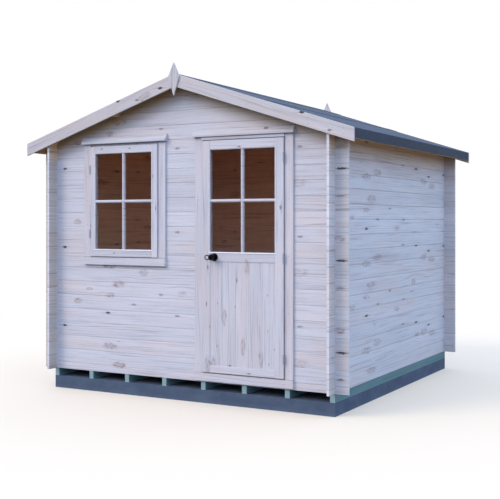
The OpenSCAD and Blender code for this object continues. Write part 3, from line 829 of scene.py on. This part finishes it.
def key_ring(material):
    """Key with a stout ring through its head, on the axis of the knob."""
    low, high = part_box("door_key")
    middle_z = (low.z + high.z) / 2
    ring_x = low.x + KEY_WIRE_R + KEY_RING_R
    ring_y = low.y + KEY_WIRE_R
    stem_x = high.x - KEY_WIRE_R
    wire = circle(WIRE_SIDES, KEY_STOUT_R)
    build = Builder()
    build.loft([[(ring_x + a * (1 + out / KEY_RING_R), ring_y + lift, middle_z + b * (1 + out / KEY_RING_R))
                 for out, lift in wire] for a, b in circle(RING_STATIONS, KEY_RING_R)], loop=True)
    build.loft([[(stem_x + a, y, middle_z + b) for a, b in wire] for y in (high.y, ring_y)])
    made = build.piece("key_with_ring", material, "knob", "black_iron", "door_key")
    made.data.polygons.foreach_set("use_smooth", [True] * len(made.data.polygons))


FELT_LAP_X = 0.74
FELT_LAP_W = 0.085
FELT_STATIONS = 72
LAP_RAMP = 0.03
LAP_WAVE = 0.0025
HEM_WAVE = 0.0012
TUCK_WAVE = 0.0006
FOLD_DROP = 0.004
FOLD_ROUND = 0.0015


def felt_slope(side, node, material):
    """Two courses of felt on one slope: the lower one folded over the eaves, the upper one lapping it."""
    low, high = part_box(node)
    outer = max(abs(low.x), abs(high.x))
    inner = HAIR / 2
    fold = outer - FELT_T
    bend = outer - FOLD_ROUND
    lap_top = FELT_LAP_X - FELT_LAP_W
    ramp = lap_top - LAP_RAMP
    phases = [rng.uniform(0, 6.28) for _ in range(6)]

    def ripple(y, k):
        return math.sin(y * 9.1 + phases[k]) * 0.6 + math.sin(y * 23.7 + phases[k + 1]) * 0.4

    lower = []
    upper = []
    for number in range(FELT_STATIONS + 1):
        y = low.y + (high.y - low.y) * number / FELT_STATIONS
        hem = low.z + HEM_WAVE * (1 + ripple(y, 0))
        tuck = TUCK_WAVE * (1 + ripple(y, 2))
        edge = FELT_LAP_X + LAP_WAVE * ripple(y, 4)
        lower.append([(side * x, y, z) for x, z in (
            (lap_top, deck_top(lap_top)), (fold, deck_top(fold)), (fold - tuck, hem), (outer - tuck, hem),
            (outer, deck_top(outer) - FOLD_DROP), (outer, deck_top(outer) + felt_plumb - FOLD_ROUND),
            (bend, deck_top(bend) + felt_plumb), (lap_top, deck_top(lap_top) + felt_plumb))])
        layers = ((inner, 0), (ramp, 0), (lap_top, 1), (edge, 1),
                  (edge, 2), (lap_top, 2), (ramp, 1), (inner, 1))
        upper.append([(side * x, y, deck_top(x) + count * felt_plumb) for x, count in layers])
    build = Builder()
    build.loft(lower)
    build.loft(upper)
    name = "felt_courses_left" if side < 0 else "felt_courses_right"
    build.piece(name, material, "cabin", "felt", node)


def spread(low, high, count, margin):
    """Evenly spaced places between two ends, with a margin at each."""
    return [low + margin + number * (high - low - 2 * margin) / (count - 1) for number in range(count)]


CLOUT_R = 0.005
CLOUT_LIFT = 0.0012
CLOUT_COUNT = 27
CLOUT_MARGIN = 0.05
CLOUT_STRAY = 0.006
RIDGE_NAILS_IN = 0.025
LAP_NAILS_IN = 0.022


def roof_nails(material):
    """Clout nails along the laps of the felt."""
    build = Builder()
    low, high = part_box("ridge_felt")
    for side in (-1, 1):
        out = (side * math.sin(ROOF_PITCH), 0.0, math.cos(ROOF_PITCH))
        for x in (high.x - RIDGE_NAILS_IN, FELT_LAP_X - LAP_NAILS_IN):
            z = deck_top(x) + 2 * felt_plumb
            for y in spread(low.y, high.y, CLOUT_COUNT, CLOUT_MARGIN):
                stray = rng.uniform(-CLOUT_STRAY, CLOUT_STRAY)
                build.stud((side * x, y + stray, z), out, CLOUT_R, CLOUT_LIFT)
    build.piece("roof_nails", material, "cabin", "hinges")


NAIL_R = 0.0032
NAIL_LIFT = 0.0006
TRIM_NAILS = 5
TRIM_NAIL_MARGIN = 0.06
TRIM_NAIL_STRAY = 0.004
SILL_NAIL_SHARES = (0.08, 0.5, 0.92)
BARGE_NAIL_XS = (0.12, 0.61, 1.10, 1.36)
BARGE_NAIL_SHARES = (0.28, 0.72)


def joinery_nails(material):
    """Nail heads in the trims, the sills and the barge boards."""
    build = Builder()
    front = (0, -1, 0)
    for node in ("door_trims", "window_trims"):
        low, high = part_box(node)
        for x in (low.x + TRIM_W / 2, high.x - TRIM_W / 2):
            for z in spread(low.z, high.z, TRIM_NAILS, TRIM_NAIL_MARGIN):
                stray = rng.uniform(-TRIM_NAIL_STRAY, TRIM_NAIL_STRAY)
                build.stud((x + stray, low.y, z), front, NAIL_R, NAIL_LIFT)
    for node in ("door_sill", "window_sill"):
        low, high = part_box(node)
        for share in SILL_NAIL_SHARES:
            x = low.x + share * (high.x - low.x)
            build.stud((x, low.y, (low.z + high.z) / 2), front, NAIL_R, NAIL_LIFT)
    for y, out in ((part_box("front_barges")[0].y, -1), (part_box("back_barges")[1].y, 1)):
        for x in BARGE_NAIL_XS:
            for side in (-1, 1):
                for share in BARGE_NAIL_SHARES:
                    z = deck_top(x) + felt_plumb - share * BARGE_H
                    build.stud((side * x, y, z), (0, out, 0), NAIL_R, NAIL_LIFT)
    build.piece("joinery_nails", material, "cabin", "hinges")


# Knots that the photograph shows
WALL_KNOTS = KnotMap("x", 0.11, 0.635, (
    Spots(True, (0.062, 0.025), 1.0, ((-0.60, 0.225), (-0.69, 0.37))),
    Spots(True, (0.070, 0.028), 0.5, ((0.97, 0.355),)),
    Spots(True, (0.042, 0.018), 1.0, ((-1.01, 0.715), (-0.69, 0.135), (1.28, 0.60))),
    Spots(False, (0.024, 0.010), 0.45, ((-0.205, 0.155), (-0.46, 0.705), (-0.055, 0.635), (0.975, 0.61))),
    Spots(False, (0.023, 0.010), 0.90, ((-0.71, 0.63), (-1.145, 0.51))),
    Spots(False, (0.048, 0.009), 0.90, ((1.295, 0.447),)),
    Spots(False, (0.035, 0.009), 0.38, ((1.285, 0.257),)),
))
SIDE_KNOTS = KnotMap("y", 0.19, 0.648, (
    Spots(True, (0.085, 0.024), 0.8, ((-0.67, 0.39), (-0.57, 0.23), (0.86, 0.37), (0.65, 0.40),
                                      (-0.45, 0.43))),
    Spots(True, (0.060, 0.016), 0.8, ((-0.945, 0.73), (-0.67, 0.79), (-0.03, 0.65))),
    Spots(False, (0.034, 0.010), 0.85, ((0.445, 0.50), (0.775, 0.447), (-0.67, 0.65), (1.21, 0.48))),
    Spots(False, (0.030, 0.009), 0.50, ((0.12, 0.514), (-0.18, 0.805), (-0.44, 0.72), (0.135, 0.717))),
))
BARGE_KNOTS = KnotMap("x", 0.0, 0.0, (
    Spots(False, (0.022, 0.011), 0.95, ((-0.126, 2.351), (-0.524, 2.278), (1.049, 2.106))),
    Spots(False, (0.018, 0.009), 0.60, ((-0.341, 2.275), (1.260, 1.972))),
))
HOOD_KNOTS = KnotMap("x", 0.0, 0.0, (
    Spots(False, (0.022, 0.010), 0.60, ((0.715, 2.022),)),
))
DOOR_KNOTS = KnotMap("x", 0.0, 0.0, (
    Spots(True, (0.020, 0.060), 0.7, ((0.53, 0.44), (0.68, 0.36), (0.56, 1.02), (0.37, 0.65))),
    Spots(False, (0.006, 0.018), 0.60, ((0.478, 0.923), (0.222, 0.742), (0.233, 1.014), (0.835, 1.45))),
    Spots(False, (0.005, 0.010), 0.40, ((0.316, 0.752), (0.467, 0.733), (0.731, 0.825), (0.732, 0.567),
                                        (0.785, 0.44), (0.741, 0.331), (0.312, 0.437), (0.25, 0.574))),
    Spots(False, (0.016, 0.006), 0.60, ((0.499, 1.897), (0.42, 0.298), (0.58, 0.252))),
))
SASH_KNOTS = KnotMap("x", 0.0, 0.0, (
    Spots(False, (0.014, 0.007), 0.45, ((-0.63, 1.105), (-0.75, 1.925), (-0.48, 1.92))),
    Spots(False, (0.005, 0.015), 0.50, ((-0.26, 1.70), (-0.86, 1.32))),
))


def line_under(node, deep, dark):
    """Painted shadow line under the foot of a piece."""
    low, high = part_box(node)
    return Line(low.z, low.z - deep, low.x, high.x, dark)


def line_along(node, deep, dark):
    """Painted shadow line along the upper edge of a piece."""
    low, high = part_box(node)
    return Line(high.z, high.z - deep, low.x, high.x, dark)


def line_over(node, deep, dark):
    """Painted shadow line on the wall over the head of a piece."""
    low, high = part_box(node)
    return Line(high.z, high.z + deep, low.x, high.x, dark)


# Finishes of the pieces

end_base = wall_base - LOG_COVER / 2
end_logs = timber("end_logs", board_grain("xzy", end_base, LOG_COVER), WHITEWASH, knots=0.25, figure=1.15,
                  joint_dirt_and_edge_shading=0.14, inside=log_faces("x", GABLE_PAINTED_SHADE, 0.22), marks=WALL_KNOTS,
                  lines=[line_under("window_sill", 0.014, 0.6), line_over("window_hood", 0.007, 0.4),
                         line_over("door_hood", 0.007, 0.4)])
side_logs = timber("side_logs", board_grain("yzx", wall_base, LOG_COVER), SIDE_WASH_PAINTED_LIGHT, knots=0.25, figure=1.12,
                   joint_dirt_and_edge_shading=0.40, inside=log_faces("y", EAVES_PAINTED_SHADE, 0.27), marks=SIDE_KNOTS)
sill_boards = timber("sill_boards", board_grain("xzy", width=SLIM_BOARD), JOINERY_WASH, knots=0.5,
                     lines=[line_along("window_sill", 0.009, 0.7), line_along("door_sill", 0.009, 0.7),
                            line_under("door_hood", 0.013, 0.75)])
hood_boards = timber("hood_boards", board_grain("xzy", width=SLIM_BOARD), DULL_WASH, knots=0.6,
                     marks=HOOD_KNOTS)
upright_boards = timber("upright_boards", board_grain("zxy", width=SLIM_BOARD), JOINERY_WASH, knots=0.5,
                        lines=[line_under("window_hood", 0.016, 0.7), line_under("door_hood", 0.016, 0.7)])
barge_boards = timber("barge_boards", slope_grain(deck_plumb + felt_plumb - BARGE_H, BARGE_W), WARM_WASH,
                      knots=0.7, figure=0.9, marks=BARGE_KNOTS)
leaf_timber = timber("leaf_timber", frame_grain("door_leaf", STILE_W), JOINERY_WASH, knots=0.3,
                     marks=DOOR_KNOTS)
sash_timber = timber("sash_timber", frame_grain("window_sash", SASH_STILE_W), JOINERY_WASH, knots=0.3,
                     marks=SASH_KNOTS)
bead_timber = timber("bead_timber", board_grain("xzy", width=SLIM_BOARD), BEAD_WASH_PAINTED_HIGHLIGHT, knots=0.0)
roof_pitch_w = (deck_high.y - deck_low.y) / ROOF_BOARDS
floor_low, floor_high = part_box("floor")
floor_pitch = (floor_high.y - floor_low.y) / FLOOR_BOARDS
panel_low, panel_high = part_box("door_panel")
panel_pitch = (panel_high.x - panel_low.x) / PANEL_BOARDS
roof_timber = timber("roof_timber", roof_board_grain(deck_low.y, roof_pitch_w), SOFFIT_PINE,
                     joint_dirt_and_edge_shading=0.3, inside=bare_inside)
floor_timber = timber("floor_timber", board_grain("xyz", floor_low.y, floor_pitch), BARE_PINE, joint_dirt_and_edge_shading=0.3)
panel_timber = timber("panel_timber", board_grain("zxy", panel_low.x, panel_pitch), JOINERY_WASH,
                      knots=0.3, figure=1.25, marks=DOOR_KNOTS)
beam_timber = timber("beam_timber", board_grain("yzx", width=BEAM_W), SOFFIT_PINE, inside=bare_inside)
finial_timber = timber("finial_timber", board_grain("zxy", width=SLIM_BOARD), WEATHERED, knots=0.0,
                       figure=1.5)
bearer_timber = timber("bearer_timber", board_grain("yzx", width=SLIM_BOARD), TREATED, end_tone=1.4,
                       inside=pale_ends)
felt_cover = felt_material()
concrete = plinth_material()
black_iron = metal_material("black_iron", (0.002, 0.002, 0.003), (0.005, 0.005, 0.006), 0.20, gloss=0.13)
hinge_metal = metal_material("hinge_metal", (0.340, 0.350, 0.420), (0.44, 0.45, 0.52), 0.45)
sash_hinge_metal = metal_material("sash_hinge_metal", (0.50, 0.48, 0.56), (0.58, 0.56, 0.63), 0.45)
trim_nail_metal = metal_material("trim_nail_metal", (0.34, 0.34, 0.38), (0.42, 0.42, 0.46), 0.5)
nail_metal = metal_material("nail_metal", (0.12, 0.125, 0.135), (0.24, 0.245, 0.255), 0.5, 0.6)

finishes = {
    end_logs: ("back_wall", "back_gable", "front_wall_lower", "front_wall_left", "front_wall_middle",
               "front_wall_right", "front_gable"),
    side_logs: ("left_wall", "right_wall"),
    sill_boards: ("door_sill", "window_sill"),
    hood_boards: ("door_hood", "window_hood"),
    upright_boards: ("door_trims", "window_trims", "door_stops", "door_frame", "window_frame"),
    finial_timber: ("front_finial", "back_finial"),
    barge_boards: ("front_barges", "back_barges"),
    leaf_timber: ("door_leaf",),
    sash_timber: ("window_sash",),
    beam_timber: ("ridge_purlin", "side_purlins", "eaves_boards"),
    bearer_timber: ("bearers",),
    felt_cover: ("ridge_felt",),
    concrete: ("plinth",),
    black_iron: ("door_rose", "door_knob", "door_key"),
    hinge_metal: ("door_hinges_fixed", "door_hinges_moving"),
    sash_hinge_metal: ("window_hinges",),
}
for name in ("window_glass", "door_glass"):
    finishes[glass_material(name)] = (name,)
for material, names in finishes.items():
    for name in names:
        nodes[name].data.materials.clear()
        nodes[name].data.materials.append(material)

roof_boards(-1, "roof_deck_left", roof_timber)
roof_boards(1, "roof_deck_right", roof_timber)
floor_boards(floor_timber)
panel_boards(panel_timber)
glazing_bars("window_bars", "window_glass", "cabin", sash_timber)
glazing_bars("door_bars", "door_glass", "door", leaf_timber)
pane_beads("window_beads", "window_sash", "window_glass", "cabin", bead_timber)
pane_beads("door_beads", "door_leaf", "door_glass", "door", bead_timber)
head_strip(sill_boards)
key_ring(black_iron)
felt_slope(-1, "roof_felt_left", felt_cover)
felt_slope(1, "roof_felt_right", felt_cover)
roof_nails(nail_metal)
joinery_nails(trim_nail_metal)

# Floor, light and camera

FLOOR_REACH = 60.0
SHADOW_REACH = (2.2, 5.5)
SKY = (1.00, 1.21, 1.59)


def seen_directly(g):
    """1 for rays that show the background itself, in a mirror or through glass too."""
    rays = g.add("LightPath").outputs
    seen = g.larger(Value(g, rays["Is Camera Ray"]), Value(g, rays["Is Glossy Ray"]))
    return g.larger(seen, Value(g, rays["Is Transmission Ray"]))


def make_floor():
    """Pale floor that fades to white away from the cabin and keeps its shadow."""
    material, g = new_graph("floor")
    (x, y, z), _ = g.place()
    away = g.larger(abs(x), abs(y))
    tint = g.noise(x * 1.5, y * 1.5, detail=3.0)
    diffuse = g.add("BsdfDiffuse", {"Color": g.mix(tint, (0.13, 0.115, 0.095), (0.16, 0.14, 0.12))})
    glow = g.add("Emission", {"Color": (1.0, 1.0, 1.0), "Strength": 0.22})
    near = g.add("AddShader", {0: g.add("BsdfDiffuse", {"Color": (0.67, 0.585, 0.480)}).outputs[0],
                               1: glow.outputs[0]})
    white = g.add("Emission", {"Color": (1.0, 1.0, 1.0), "Strength": 1.0})
    shown = g.add("MixShader", {0: g.step(away, *SHADOW_REACH), 1: near.outputs[0], 2: white.outputs[0]})
    g.surface(g.add("MixShader", {0: seen_directly(g), 1: diffuse.outputs[0], 2: shown.outputs[0]}))
    corners = [(-FLOOR_REACH, -FLOOR_REACH, 0), (FLOOR_REACH, -FLOOR_REACH, 0),
               (FLOOR_REACH, FLOOR_REACH, 0), (-FLOOR_REACH, FLOOR_REACH, 0)]
    mesh = bpy.data.meshes.new("floor_plane")
    mesh.from_pydata(corners, [], [(0, 1, 2, 3)])
    mesh.materials.append(material)
    plane = bpy.data.objects.new("floor_plane", mesh)
    bpy.context.scene.collection.objects.link(plane)


def make_world():
    world = bpy.data.worlds.new("studio")
    world.use_nodes = True
    bpy.context.scene.world = world
    g = Graph(world.node_tree)
    light = g.add("Background", {"Color": SKY, "Strength": 1.0})
    white = g.add("Background", {"Color": (1.0, 1.0, 1.0), "Strength": 1.0})
    mixed = g.add("MixShader", {0: seen_directly(g), 1: light.outputs[0], 2: white.outputs[0]})
    g.links.new(mixed.outputs[0], g.add("OutputWorld").inputs["Surface"])


def make_key():
    """Broad soft lamp high in front of the cabin, to the left."""
    lamp = bpy.data.lights.new("key", "SUN")
    lamp.energy = 1.45
    lamp.angle = math.radians(30)
    lamp.color = (1.0, 0.78, 0.55)
    made = bpy.data.objects.new("key", lamp)
    direction = Vector((0.52, 0.66, -0.54))
    made.rotation_euler = direction.to_track_quat("-Z", "Y").to_euler()
    bpy.context.scene.collection.objects.link(made)


def make_room_light():
    """Weak soft lamp in the room, so that its timber shows through the panes."""
    lamp = bpy.data.lights.new("room_light", "POINT")
    lamp.energy = 2.1
    lamp.shadow_soft_size = 0.35
    lamp.color = (1.0, 0.80, 0.72)
    made = bpy.data.objects.new("room_light", lamp)
    made.location = (0.0, 0.2, 1.5)
    made.visible_camera = False
    made.visible_glossy = False
    made.visible_transmission = False
    bpy.context.scene.collection.objects.link(made)


def make_camera():
    """Level camera at the photograph's place."""
    data = bpy.data.cameras.new("camera")
    data.sensor_width = SENSOR_W
    data.lens = FOCAL_PX * SENSOR_W / PHOTO_W
    data.shift_y = (HORIZON_PY - PHOTO_H / 2) / PHOTO_W
    made = bpy.data.objects.new("camera", data)
    made.location = CAMERA_AT
    made.rotation_euler = (math.pi / 2, 0.0, CAMERA_YAW)
    bpy.context.scene.collection.objects.link(made)
    bpy.context.scene.camera = made


make_floor()
make_world()
make_key()
make_room_light()
make_camera()
bpy.context.scene.view_settings.view_transform = "Standard"
